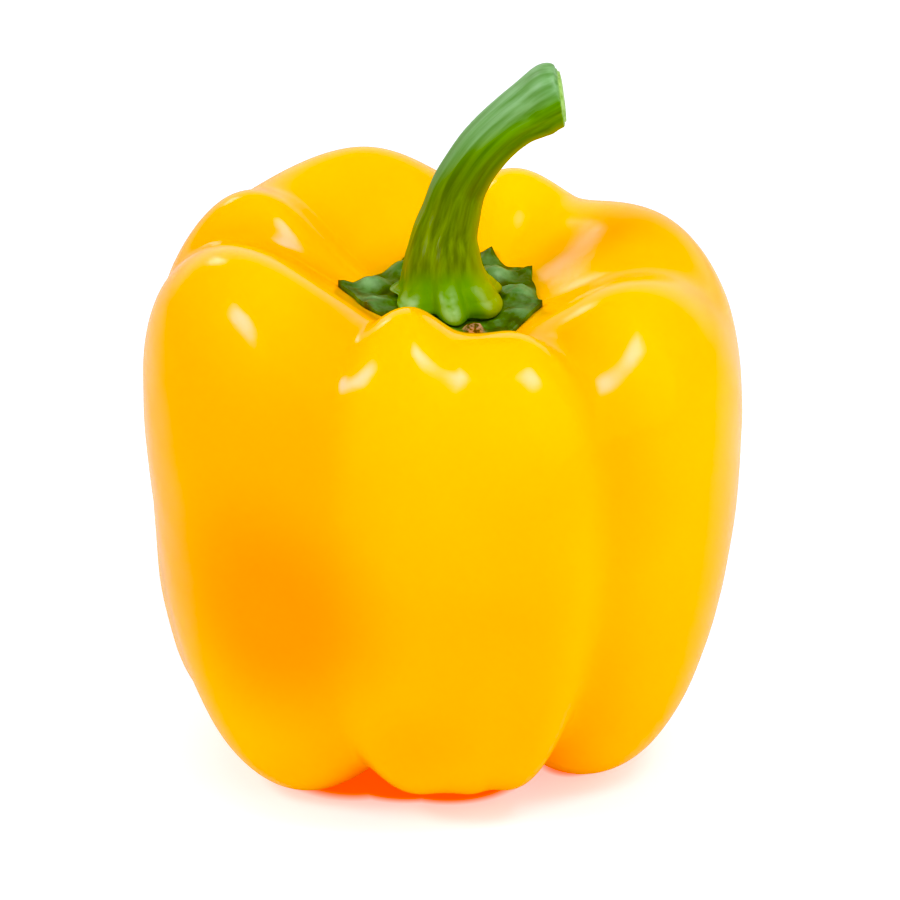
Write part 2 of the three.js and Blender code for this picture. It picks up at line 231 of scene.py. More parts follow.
def control_points(column):
    """Control points (row, column, x y z groove) of the fruit. The column counts shoulders: its whole
    part is the shoulder, its fraction s the way across. Groove and crown are mixed by the hump
    (sqrt(sin^2(pi s) + k^2) - k) / (sqrt(1 + k^2) - k), with softness k, which starts from the depth of
    the grooves on both sides. The fourth value is how deep in a groove the point is."""
    here = np.floor(column).astype(int) % len(GROOVES)
    across = column - np.floor(column)
    after = (here + 1) % len(GROOVES)
    early = across < 0.5
    own_from = SHOULDERS[np.where(early, here - 1, here)]
    own_to = SHOULDERS[np.where(early, here, after)]
    own_share = smooth(np.where(early, across + 0.5, across - 0.5))[:, None]
    top_lift, top_reach, foot_lift, foot_reach = mix(own_from, own_to, own_share).T

    crown_radius, crown_height, groove_radius, groove_height, softness = PROFILE.T[:, :, None]
    top = smooth((crown_height - TOP_STARTS) / (TOP_FULL - TOP_STARTS))
    foot = smooth((FOOT_STARTS - crown_height) / (FOOT_STARTS - FOOT_FULL))
    turn = smooth((TURN_STARTS - crown_height) / TURN_STARTS)
    left, right = GROOVES[here].T, GROOVES[after].T
    start = mix(left[0], left[1], turn)
    end = mix(right[0], right[1], turn) + np.where(after == 0, 360, 0)
    azimuth = np.radians(mix(start, end, across))
    depth_left = left[2] * top + left[3] * (1 - top - foot) + left[4] * foot
    depth_right = right[2] * top + right[3] * (1 - top - foot) + right[4] * foot
    hump = np.hypot(np.sin(math.pi * across), softness) - softness
    hump = hump / (np.hypot(1, softness) - softness)
    crown_share = mix(1 - mix(depth_left, depth_right, smooth(across)), 1, hump)
    outside = np.clip(crown_radius / LIFT_RADIUS, 0, 1) ** 1.5
    radius = mix(groove_radius, crown_radius, crown_share) + (top_reach * top + foot_reach * foot) * outside
    height = mix(groove_height, crown_height, crown_share) + (top_lift * top + foot_lift * foot) * outside
    points = np.stack([radius * np.sin(azimuth), -radius * np.cos(azimuth), height, 1 - crown_share], -1)
    flip = np.array([-1, -1, 1, 1])
    return np.concatenate([points[1:2] * flip, points, points[-2:-1] * flip])


def along_rows(controls, rise):
    """Uniform cubic B-spline through the rows of control points at each rise (0 is the blossom scar).
    Where the skin would dip under the table it lies flat on it."""
    first = np.minimum(rise.astype(int), LAST_ROW - 1)
    u = (rise - first)[:, None, None]
    skin_points = (
        (1 - u) ** 3 * controls[first]
        + (3 * u ** 3 - 6 * u ** 2 + 4) * controls[first + 1]
        + (-3 * u ** 3 + 3 * u ** 2 + 3 * u + 1) * controls[first + 2]
        + u ** 3 * controls[first + 3]
    ) / 6
    skin_points[..., 2] = np.maximum(skin_points[..., 2], 0)
    return skin_points


def column_at(azimuth):
    """Column of the fruit that lies at an azimuth, where the grooves run straight near the top."""
    starts = np.append(GROOVES[:, 0], GROOVES[0, 0] + 360)
    return np.interp((azimuth - starts[0]) % 360 + starts[0], starts, np.arange(len(starts)))


def seat_height(radius, azimuth):
    """Height of the fruit's skin in the hollow of the top, at each radius and azimuth: read off the
    meridian between the middle of the seat and the crest, by straight steps."""
    rows = np.linspace(LAST_ROW, CREST_ROW, MERIDIAN_STEPS + 1)
    meridian = along_rows(control_points(column_at(azimuth)), rows)
    out = np.hypot(meridian[..., 0], meridian[..., 1])
    step = np.clip((out < radius).sum(0), 1, len(out) - 1)
    item = np.arange(len(radius))
    inner, outer = out[step - 1, item], out[step, item]
    share = np.clip((radius - inner) / (outer - inner), 0, 1)
    return mix(meridian[step - 1, item, 2], meridian[step, item, 2], share)


def calyx_margin(azimuth):
    """Radius of the calyx: a circle, raised cosine lobes and pointed teeth, reach (1 - d)^1.4 at the
    share d of the tooth's half width."""
    radius = np.full_like(azimuth, CALYX_RADIUS)
    for middle, reach, half_width in CALYX_LOBES:
        away = np.clip(np.abs(turned(azimuth, middle)) / half_width, 0, 1)
        radius = radius + reach * np.cos(away * math.pi / 2) ** 2
    for middle, reach, half_width in CALYX_TEETH:
        away = np.clip(np.abs(turned(azimuth, middle)) / half_width, 0, 1)
        radius = radius + reach * (1 - away) ** 1.4
    return radius


def tooth_tips(azimuth):
    """1 at the middle of each tooth of the calyx, falling to 0 a few degrees beside it."""
    away = [np.abs(turned(azimuth, middle)) / (half_width * 0.3) for middle, _, half_width in CALYX_TEETH]
    return 1 - smooth(np.min(away, axis=0))


def calyx_lumps(radius, azimuth):
    """Height of the lumps beside the stem's foot: domes h (1 - d^2)^2 at the share d of their radius,
    with ripples between them."""
    x = radius * np.sin(np.radians(azimuth))
    y = -radius * np.cos(np.radians(azimuth))
    place = np.stack([x, y, np.zeros_like(x)], -1)
    inside = 1 - smooth((radius / calyx_margin(azimuth) - 0.8) / 0.2)
    domes = 0
    for lump_x, lump_y, lump_radius, lump_height in CALYX_LUMPS:
        away = np.clip(np.hypot(x - lump_x, y - lump_y) / lump_radius, 0, 1)
        domes = domes + lump_height * (1 - away ** 2) ** 2
    rough = sum(height * ripple(place, wavelength, seed) for wavelength, height, seed in CALYX_WAVES)
    return (domes + rough * mix(0.3, 1, inside)) * beside_foot(x, y)


def beside_foot(x, y):
    """0 under the stem's foot, rising to 1 beside it."""
    from_foot = np.hypot(x - STEM_STATIONS[0, 0], y - STEM_STATIONS[0, 1]) - STEM_STATIONS[0, 3]
    return smooth(from_foot / LUMPS_RISE)


def calyx_top(radius, azimuth):
    """Height of the calyx's upper side: the seat, a thickness that runs out towards the margin, its
    lumps, a rib to each tooth, and the scab, a rounded and pitted bump in front of the stem."""
    share = radius / calyx_margin(azimuth)
    x = radius * np.sin(np.radians(azimuth))
    y = -radius * np.cos(np.radians(azimuth))
    place = np.stack([x, y, np.zeros_like(x)], -1)
    rib = CALYX_RIB * tooth_tips(azimuth) * beside_foot(x, y) * smooth((share - 0.5) / 0.3)
    from_scab = np.hypot(x - SCAB[0], y - SCAB[1]) / SCAB_RADIUS
    wavelength, depth, seed = SCAB_PITS
    scab = SCAB_HEIGHT * np.exp(-from_scab ** 4) * (1 + depth * ripple(place, wavelength, seed))
    thickness = mix(CALYX_CORE, CALYX_EDGE, smooth(share))
    return seat_height(radius, azimuth) + thickness + calyx_lumps(radius, azimuth) + rib + scab


def skin(name, rings, first_pole, last_pole, measures):
    """Closed mesh over rings of points in millimetres and a pole at each end, moved with the fruit to
    its place in the frame. Each measure is an attribute with one value, or one vector, per ring point."""
    ring_count, columns = rings.shape[:2]
    points = np.concatenate([first_pole[None], rings.reshape(-1, 3), last_pole[None]])
    number = 1 + np.arange(ring_count * columns).reshape(ring_count, columns)
    after = np.roll(number, -1, axis=1)
    walls = np.stack([number[:-1], after[:-1], after[1:], number[1:]], -1).reshape(-1, 4)
    first = np.stack([np.zeros(columns, int), after[0], number[0]], -1)
    last = np.stack([np.full(columns, len(points) - 1), number[-1], after[-1]], -1)

    mesh = bpy.data.meshes.new(name)
    mesh.from_pydata(points * MM, [], walls.tolist() + first.tolist() + last.tolist())
    mesh.polygons.foreach_set("use_smooth", np.ones(len(mesh.polygons), bool))
    for key, values in measures.items():
        flat = values.reshape(ring_count * columns, -1)
        flat = np.concatenate([flat[:columns].mean(0)[None], flat, flat[-columns:].mean(0)[None]])
        vector = flat.shape[1] == 3
        attribute = mesh.attributes.new(key, "FLOAT_VECTOR" if vector else "FLOAT", "POINT")
        attribute.data.foreach_set("vector" if vector else "value", flat.astype(np.float32).ravel())
    piece = bpy.data.objects.new(name, mesh)
    bpy.context.collection.objects.link(piece)
    return piece


def fruit_surface():
    """Rings of the fruit and how deep in a groove each point is. Waves up to 0.2 mm high move the skin
    level outwards and inwards, so that no shoulder is perfectly even. They fade out at the feet and in
    the hollow of the top."""
    count = len(SHOULDERS) * SHOULDER_COLUMNS
    rise = np.arange(LAST_ROW * ROW_STEPS + 1) / ROW_STEPS
    surface = along_rows(control_points(np.arange(count) / SHOULDER_COLUMNS), rise)
    points = surface[..., :3]
    away = np.stack([points[..., 0], points[..., 1], np.zeros_like(points[..., 0])], -1)
    away = away / np.maximum(np.linalg.norm(away, axis=-1, keepdims=True), 1)
    side = smooth(points[..., 2] / 8) * smooth(np.hypot(points[..., 0], points[..., 1]) / 30 - 0.5)
    uneven = sum(height * ripple(points, wavelength, seed) for wavelength, height, seed in SKIN_WAVES)
    return points + away * (uneven * side)[..., None], surface[..., 3]


def make_fruit(points, groove, shift):
    """The fruit, closed at the blossom scar and at the seat of the calyx."""
    points = points + shift
    return skin("fruit_skin", points[1:-1], points[0, 0], points[-1, 0], {"groove": groove[1:-1]})


def make_calyx(shift):
    """The calyx: rings outwards along its underside, round the margin and inwards over its top."""
    azimuth = np.arange(CALYX_COLUMNS) * 360 / CALYX_COLUMNS
    under = np.repeat(CALYX_UNDER_SHARES, CALYX_COLUMNS)
    over = np.repeat(CALYX_TOP_SHARES, CALYX_COLUMNS)
    around_under = np.tile(azimuth, len(CALYX_UNDER_SHARES))
    around_over = np.tile(azimuth, len(CALYX_TOP_SHARES))
    radius = np.concatenate([under * calyx_margin(around_under), over * calyx_margin(around_over)])
    around = np.concatenate([around_under, around_over])
    height = np.concatenate([
        seat_height(radius[:len(under)], around_under) - CALYX_SUNK,
        calyx_top(radius[len(under):], around_over),
    ])
    rounding = CALYX_ROUNDING * smooth((over - ROUNDING_STARTS) / (1 - ROUNDING_STARTS))
    edge_drop = np.concatenate([np.zeros(len(under)), rounding])
    turn = np.radians(around)
    points = np.stack([radius * np.sin(turn), -radius * np.cos(turn), height - edge_drop], -1)
    from_scab = np.hypot(points[:, 0] - SCAB[0], points[:, 1] - SCAB[1]) / SCAB_RADIUS
    share = np.concatenate([under, over])
    measures = {
        "tooth": tooth_tips(around) * smooth((share - 0.95) / 0.05),
        "scab": 1 - smooth(from_scab - 0.6),
        "lump": calyx_lumps(radius, around),
    }
    rings = points.reshape(-1, CALYX_COLUMNS, 3) + shift
    return skin("calyx_leaves", rings, rings[0].mean(0), rings[-1].mean(0), measures)


def station_values(along):
    """Centre, direction and radius of the stem at each share of its length: a Catmull-Rom curve
    through the stations, with the radius along it."""
    count = len(STEM_STATIONS)
    ends = [2 * STEM_STATIONS[:1] - STEM_STATIONS[1:2], 2 * STEM_STATIONS[-1:] - STEM_STATIONS[-2:-1]]
    knots = np.concatenate([ends[0], STEM_STATIONS, ends[1]])
    first = np.minimum((along * (count - 1)).astype(int), count - 2)
    u = (along * (count - 1) - first)[:, None]
    a, b, c, d = knots[first], knots[first + 1], knots[first + 2], knots[first + 3]
    place = b + 0.5 * u * (c - a + u * (2 * a - 5 * b + 4 * c - d + u * (3 * (b - c) + d - a)))
    slope = 0.5 * (c - a + 2 * u * (2 * a - 5 * b + 4 * c - d) + 3 * u * u * (3 * (b - c) + d - a))
    direction = slope[:, :3] / np.linalg.norm(slope[:, :3], axis=1, keepdims=True)
    return place[:, :3], direction, place[:, 3]


def unit(vectors):
    """Vectors at length one."""
    return vectors / np.linalg.norm(vectors, axis=-1, keepdims=True)


def make_stem(shift):
    """The stem: a section of radius r (1 + h rib) swept along its curve, where the rib goes from -1 in a
    valley to 1 on a crest. Each ring is sheared along the curve to lie level at the foot, across the stem
    further up and in the slanting cut at the end, where the lip l (1 - sqrt(1 - p^2)) curls down."""
    angle = np.arange(STEM_COLUMNS) * 2 * math.pi / STEM_COLUMNS
    along = np.concatenate([[0, 0], np.linspace(0, 1, STEM_RINGS)])
    centre, direction, radius = station_values(along)
    rightward = unit(np.cross([0.0, 1.0, 0.0], direction))
    frontward = np.cross(rightward, direction)
    knuckles = 1 - smooth(along / KNUCKLES_END)
    azimuth = np.degrees(angle)
    azimuth = np.where(azimuth < RIB_VALLEYS[-1], azimuth, azimuth - 360)
    after = np.searchsorted(RIB_VALLEYS, azimuth, side="right")
    valley, next_valley = RIB_VALLEYS[after - 1], RIB_VALLEYS[after]
    wave = np.sin(math.pi * (azimuth - valley) / (next_valley - valley))
    hump = (np.hypot(wave, RIB_SOFTNESS) - RIB_SOFTNESS) / (np.hypot(1, RIB_SOFTNESS) - RIB_SOFTNESS)
    rib = 2 * hump - 1
    upper_side = np.maximum(0, -np.sin(angle))
    past = np.clip((along - LIP_STARTS) / (1 - LIP_STARTS), 0, 1)[:, None]
    lip = LIP_DROP * (1 - np.sqrt(1 - past ** 2)) * upper_side
    share = 1 + mix(RIB_HEIGHT, KNUCKLE_HEIGHT, knuckles)[:, None] * rib - lip
    reach = radius[:, None] * share
    offset = (rightward[:, None] * (reach * np.sin(angle))[..., None]
              + frontward[:, None] * (reach * np.cos(angle))[..., None])
    upright = smooth(along / KNUCKLES_END)[:, None]
    slant = smooth((along - SLANT_STARTS) / (1 - SLANT_STARTS))[:, None]
    normal = mix(mix(np.array([0.0, 0.0, 1.0]), direction, upright), CUT_NORMAL, slant)
    slope = (offset * normal[:, None]).sum(-1) / (direction * normal).sum(-1)[:, None]
    rings = centre[:, None] + offset - direction[:, None] * slope[..., None]
    rings[:2, :, :2] = mix(centre[0, :2], rings[:2, :, :2], FOOT_SHARES[:, None, None])
    azimuth = np.degrees(np.arctan2(rings[..., 0], -rings[..., 1])).ravel()
    ground = calyx_top(np.hypot(rings[..., 0], rings[..., 1]).ravel(), azimuth).reshape(rings.shape[:2])
    follow = 1 - smooth(along / FOOT_FOLLOWS)[:, None]
    lowest = ground[1] + FOOT_RIM + FOOT_ROUNDING * (1 - hump)
    rings[..., 2] += (lowest - STEM_STATIONS[0, 2]) * follow
    rings[:2, :, 2] = ground[:2] - FOOT_PRESSED[:, None]

    cut = unit(CUT_NORMAL)
    end = centre[-1]
    cap = end + (rings[-1] - end) * CUT_SHARES[:, None, None] + cut * CUT_RISES[:, None, None]
    all_rings = np.concatenate([rings, cap]) + shift
    last_pole = end + cut * CUT_RISES[-1] + shift
    height = np.repeat(along[:, None] * STEM_LENGTH, STEM_COLUMNS, 1)
    straight = np.stack([reach * np.sin(angle), reach * np.cos(angle), height], -1)
    straight = np.concatenate([straight, straight[-1] * CUT_SHARES[:, None, None]])
    cut_face = np.concatenate([np.zeros(len(rings)), CUT_COLOURED])
    measures = {
        "straight": straight * MM,
        "side": np.repeat(np.sin(angle)[None], len(all_rings), 0),
        "rib": np.concatenate([np.repeat(rib[None], len(rings), 0), np.zeros((len(cap), STEM_COLUMNS))]),
        "cut_face": np.repeat(cut_face[:, None], STEM_COLUMNS, 1),
        "along": np.repeat(np.concatenate([along, np.ones(len(cap))])[:, None], STEM_COLUMNS, 1),
    }
    return skin("stem_stalk", all_rings, all_rings[0].mean(0), last_pole, measures)


def linear(hex_colour):
    """sRGB hex to a linear colour."""
    values = [int(hex_colour[k:k + 2], 16) / 255 for k in (1, 3, 5)]
    return [v / 12.92 if v <= 0.04045 else ((v + 0.055) / 1.055) ** 2.4 for v in values] + [1]


def add_node(tree, kind, inputs=None, **settings):
    """Adds a node: settings are its own properties, inputs its sockets' values or what feeds them."""
    node = tree.nodes.new(kind)
    for key, value in settings.items():
        setattr(node, key, value)
    for key, value in (inputs or {}).items():
        if isinstance(value, bpy.types.NodeSocket):
            tree.links.new(value, node.inputs[key])
        else:
            node.inputs[key].default_value = value
    return node


# Sockets of the Mix node in its colour form.
FACTOR, COLOUR_A, COLOUR_B, COLOUR_OUT = 0, 6, 7, 2


def start_material(name):
    """A node material with its shader and output."""
    material = bpy.data.materials.new(name)
    material.use_nodes = True
    tree = material.node_tree
    tree.nodes.clear()
    shader = add_node(tree, "ShaderNodeBsdfPrincipled")
    add_node(tree, "ShaderNodeOutputMaterial", {"Surface": shader.outputs["BSDF"]})
    return material, tree, shader


# Patches of the fruit's skin, deeper or lighter than the rest: partly riper or less ripe colour and partly
# painted shade and light, on the left lobe, low at the front and on the tops of the shoulders; and last the
# corky blossom scar underneath: centre and reach in metres, and colour.
RIPENESS_AND_SHADE_PATCHES = [
    ((-0.036, -0.024, 0.048), 0.040, "#FFA200"),
    ((-0.024, -0.034, 0.035), 0.024, "#FF8E00"),
    ((-0.006, -0.040, 0.012), 0.014, "#F0A800"),
    ((0.012, 0.026, 0.078), 0.020, "#FFBA00"),
    ((0.030, 0.012, 0.074), 0.018, "#FFA800"),
    ((-0.036, 0.016, 0.070), 0.020, "#FFA200"),
    ((0.0, 0.0, 0.0075), 0.0055, "#C08A38"),
    ((0.0, 0.0, 0.0075), 0.0034, "#6B3F1E"),
]


def waxy_pepper_skin():
    """Ripe sweet pepper skin: a thin clear wax over wet yellow flesh. It gives tight cream highlights and
    pale reflections at grazing angles, and light passes a little way into the flesh. The grooves are painted
    a deeper orange as painted shade, and patches of riper colour and of painted shade and light lie over the
    skin. The ripeness varies over about 45 mm, and the pores are 2.4 mm apart."""
    material, tree, shader = start_material("waxy_pepper_skin")
    place = add_node(tree, "ShaderNodeTexCoord").outputs["Object"]
    groove = add_node(tree, "ShaderNodeAttribute", attribute_name="groove").outputs["Fac"]
    ripeness = add_node(tree, "ShaderNodeTexNoise", {"Vector": place, "Scale": 22.0, "Detail": 2.0})
    ripe = add_node(tree, "ShaderNodeMapRange", {
        "Value": ripeness.outputs["Fac"], "From Min": 0.4, "From Max": 0.7})
    body = add_node(tree, "ShaderNodeMix", {
        FACTOR: ripe.outputs["Result"], COLOUR_A: linear("#FFB100"), COLOUR_B: linear("#FFAA00")},
        data_type="RGBA").outputs[COLOUR_OUT]
    # Patches of riper colour and of painted shade and light, then the blossom scar.
    for centre, reach, hex_colour in RIPENESS_AND_SHADE_PATCHES:
        away = add_node(tree, "ShaderNodeVectorMath", {0: place, 1: centre}, operation="DISTANCE")
        patch_share = add_node(tree, "ShaderNodeMapRange", {
            "Value": away.outputs["Value"], "From Min": reach, "From Max": 0.2 * reach},
            interpolation_type="SMOOTHSTEP")
        body = add_node(tree, "ShaderNodeMix", {
            FACTOR: patch_share.outputs["Result"], COLOUR_A: body, COLOUR_B: linear(hex_colour)},
            data_type="RGBA").outputs[COLOUR_OUT]
    # Painted shade: the deeper the groove, the deeper orange the skin is painted.
    painted_groove_shade = add_node(tree, "ShaderNodeMapRange", {
        "Value": groove, "From Min": 0.1, "From Max": 1.0, "To Max": 0.6}, interpolation_type="SMOOTHSTEP")
    skin_colour = add_node(tree, "ShaderNodeMix", {
        FACTOR: painted_groove_shade.outputs["Result"], COLOUR_A: body, COLOUR_B: linear("#FF9400")},
        data_type="RGBA")
    tree.links.new(skin_colour.outputs[COLOUR_OUT], shader.inputs["Base Color"])
    pores = add_node(tree, "ShaderNodeTexNoise", {"Vector": place, "Scale": 420.0, "Detail": 3.0})
    relief = add_node(tree, "ShaderNodeBump", {
        "Strength": 0.08, "Distance": 0.0004, "Height": pores.outputs["Fac"]})
    tree.links.new(relief.outputs["Normal"], shader.inputs["Normal"])
    shader.inputs["Roughness"].default_value = 0.2
    shader.inputs["IOR"].default_value = 1.37
    shader.inputs["Specular Tint"].default_value = (1.0, 0.4, 0.8, 1)
    shader.inputs["Subsurface Weight"].default_value = 0.25
    shader.inputs["Subsurface Radius"].default_value = (1.0, 0.4, 0.02)
    shader.inputs["Subsurface Scale"].default_value = 0.004
    return material


def calyx_leaf():
    """Sepals of the calyx: dull, leathery dark green leaf with a blue waxy film, brown and dry at the tooth
    tips and on the scab. It is painted lighter on its raised lumps and darker in the low parts between them:
    painted light and shade. Its mottle is about 2.6 mm across, and the pits of the scab 0.9 mm."""
    material, tree, shader = start_material("calyx_leaf")
    place = add_node(tree, "ShaderNodeTexCoord").outputs["Object"]
    tooth = add_node(tree, "ShaderNodeAttribute", attribute_name="tooth").outputs["Fac"]
    scab = add_node(tree, "ShaderNodeAttribute", attribute_name="scab").outputs["Fac"]
    mottle = add_node(tree, "ShaderNodeTexNoise", {
        "Vector": place, "Scale": 380.0, "Detail": 4.0, "Roughness": 0.6})
    patches = add_node(tree, "ShaderNodeMapRange", {
        "Value": mottle.outputs["Fac"], "From Min": 0.36, "From Max": 0.66})
    lump = add_node(tree, "ShaderNodeAttribute", attribute_name="lump").outputs["Fac"]
    # Painted light and shade: the leaf is lighter on its raised lumps and darker in the low parts between
    # them.
    raised_lit_share = add_node(tree, "ShaderNodeMapRange", {
        "Value": lump, "From Min": -0.1, "From Max": 1.1}, interpolation_type="SMOOTHSTEP").outputs["Result"]
    painted_shade_leaf = add_node(tree, "ShaderNodeMix", {
        FACTOR: patches.outputs["Result"], COLOUR_A: linear("#142E1E"), COLOUR_B: linear("#3E6C40")},
        data_type="RGBA").outputs[COLOUR_OUT]
    painted_lit_leaf = add_node(tree, "ShaderNodeMix", {
        FACTOR: patches.outputs["Result"], COLOUR_A: linear("#3F7446"), COLOUR_B: linear("#6F9F6C")},
        data_type="RGBA").outputs[COLOUR_OUT]
    leaf = add_node(tree, "ShaderNodeMix", {
        FACTOR: raised_lit_share, COLOUR_A: painted_shade_leaf, COLOUR_B: painted_lit_leaf}, data_type="RGBA")
    tipped = add_node(tree, "ShaderNodeMix", {
        FACTOR: tooth, COLOUR_A: leaf.outputs[COLOUR_OUT], COLOUR_B: linear("#2A2A20")}, data_type="RGBA")
    pits = add_node(tree, "ShaderNodeTexNoise", {"Vector": place, "Scale": 1100.0, "Detail": 2.0})
    pitted = add_node(tree, "ShaderNodeMapRange", {
        "Value": pits.outputs["Fac"], "From Min": 0.42, "From Max": 0.56})
    cork = add_node(tree, "ShaderNodeMix", {
        FACTOR: pitted.outputs["Result"], COLOUR_A: linear("#3A2018"), COLOUR_B: linear("#B4806C")},
        data_type="RGBA")
    dry = add_node(tree, "ShaderNodeMix", {
        FACTOR: scab, COLOUR_A: tipped.outputs[COLOUR_OUT], COLOUR_B: cork.outputs[COLOUR_OUT]},
        data_type="RGBA")
    tree.links.new(dry.outputs[COLOUR_OUT], shader.inputs["Base Color"])
    relief = add_node(tree, "ShaderNodeBump", {
        "Strength": 0.35, "Distance": 0.0004, "Height": mottle.outputs["Fac"]})
    tree.links.new(relief.outputs["Normal"], shader.inputs["Normal"])
    shader.inputs["Roughness"].default_value = 0.55
    return material


# How far each colour of the stem reaches: the measure that leads it, the values between which it changes,
# and the share that it has at each of them.
STEM_SHARES = {
    "towards_cut": ("along", 0.45, 0.85, 0.0, 1.0),
    "foot": ("along", 0.29, 0.2, 0.0, 1.0),
    "crest": ("rib", -0.3, 1.0, 0.0, 1.0),
    "below_waist": ("along", 0.26, 0.12, 0.0, 1.0),
    "above_leaf": ("along", 0.02, 0.08, 0.0, 1.0),
    # Blotches of the painted highlight on the knuckles.
    "knuckle_highlight_blotches": ("knuckle_highlight_blotches", 0.3, 0.62, 0.15, 0.85),
    "lit_edge": ("side", 0.55, 1.0, 0.0, 0.8),
    # How far along the stem the painted reflection on its upper side reaches.
    "reflection_limit": ("along", 0.42, 0.85, 0.95, 0.1),
}


def stem_rind():
    """Stem of the pepper: firm green rind with darker fibre streaks along it and a moist, paler cut face.
    Painted on it are pale highlights on the knuckles at its foot, a yellowish painted light on its right side
    and a pale painted reflection on its upper side. The fibres are 1 mm apart across the stem and 15 mm long,
    the blotches of the knuckles' painted highlights 2.4 mm across."""
    material, tree, shader = start_material("stem_rind")
    straight = add_node(tree, "ShaderNodeAttribute", attribute_name="straight").outputs["Vector"]
    stretched = add_node(tree, "ShaderNodeVectorMath", {0: straight, 1: (1, 1, 0.06)}, operation="MULTIPLY")
    fibres = add_node(tree, "ShaderNodeTexNoise", {
        "Vector": stretched.outputs["Vector"], "Scale": 1100.0, "Detail": 4.0})
    streaks = add_node(tree, "ShaderNodeMapRange", {
        "Value": fibres.outputs["Fac"], "From Min": 0.35, "From Max": 0.65}).outputs["Result"]
    knuckle_highlight_blotches = add_node(tree, "ShaderNodeTexNoise", {"Vector": straight, "Scale": 420.0, "Detail": 2.0})
    measures = {"knuckle_highlight_blotches": knuckle_highlight_blotches.outputs["Fac"]}
    for name in ("along", "side", "rib", "cut_face"):
        measures[name] = add_node(tree, "ShaderNodeAttribute", attribute_name=name).outputs["Fac"]
    shares = {}
    for name, (measure, begin, finish, low, high) in STEM_SHARES.items():
        shares[name] = add_node(tree, "ShaderNodeMapRange", {
            "Value": measures[measure], "From Min": begin, "From Max": finish, "To Min": low, "To Max": high},
            interpolation_type="SMOOTHSTEP").outputs["Result"]
    # Painted highlight on the crests of the knuckles, between the waist and the leaf, in blotches.
    knuckle_highlight = shares["crest"]
    for name in ("below_waist", "above_leaf", "knuckle_highlight_blotches"):
        knuckle_highlight = add_node(tree, "ShaderNodeMath", {
            0: knuckle_highlight, 1: shares[name]}, operation="MULTIPLY").outputs["Value"]
    # Painted reflection of the bright surroundings on the stem's upper side, fading towards the cut.
    from_reflection = add_node(tree, "ShaderNodeMath", {
        0: measures["side"], 1: shares["reflection_limit"]}, operation="ADD").outputs["Value"]
    painted_reflection = add_node(tree, "ShaderNodeMapRange", {
        "Value": from_reflection, "From Min": 0.3, "From Max": -0.35}, interpolation_type="SMOOTHSTEP")
    rind = add_node(tree, "ShaderNodeMix", {
        FACTOR: streaks, COLOUR_A: linear("#3A5200"), COLOUR_B: linear("#5C7808")},
        data_type="RGBA").outputs[COLOUR_OUT]
    # Layers over the rind: greener towards the cut and at the foot, the painted knuckle highlights, the
    # painted light on the right edge, the painted reflection on the upper side, and the paler cut face.
    layers = [
        (shares["towards_cut"], "#356C0C", "#568F30"),
        (shares["foot"], "#4A8018", "#4A8018"),
        (knuckle_highlight, "#86B274", "#86B274"),
        (shares["lit_edge"], "#8A9204", "#8A9204"),
        (painted_reflection.outputs["Result"], "#4C7F4B", "#6C9C6A"),
        (measures["cut_face"], "#6E9E46", "#9CC474"),
    ]
    for share, between_fibres, on_fibres in layers:
        layer = add_node(tree, "ShaderNodeMix", {
            FACTOR: streaks, COLOUR_A: linear(between_fibres), COLOUR_B: linear(on_fibres)}, data_type="RGBA")
        rind = add_node(tree, "ShaderNodeMix", {
            FACTOR: share, COLOUR_A: rind, COLOUR_B: layer.outputs[COLOUR_OUT]},
            data_type="RGBA").outputs[COLOUR_OUT]
    tree.links.new(rind, shader.inputs["Base Color"])
    relief = add_node(tree, "ShaderNodeBump", {
        "Strength": 0.3, "Distance": 0.0003, "Height": fibres.outputs["Fac"]})
    tree.links.new(relief.outputs["Normal"], shader.inputs["Normal"])
    shader.inputs["Roughness"].default_value = 0.42
    shader.inputs["IOR"].default_value = 1.36
    return material


# Painted glow and shadow on the table round the pepper's feet: middle, where it begins to fade and where it
# ends, in metres, and its strength. The last two are the halo, a faint painted shadow tinted pink.
PAINTED_TABLE_GLOWS = [
    ((-0.0055, -0.0120, 0), 0.0105, 0.0135, 1.0),
    ((-0.0130, -0.0120, 0), 0.0090, 0.0130, 1.0),
    ((0.0005, -0.0130, 0), 0.0100, 0.0130, 1.0),
    ((0.0180, -0.0120, 0), 0.0028, 0.0054, 0.8),
    ((0, 0, 0), 0.0250, 0.0345, 0.17),
    ((0, 0, 0), 0.0300, 0.0500, 0.055),
]
# Width of the table in metres.
TABLE_SIZE = 6
# Share of the table's own light that is missing from its mirror image in the pepper's skin.
TABLE_DIMMED = 0.85


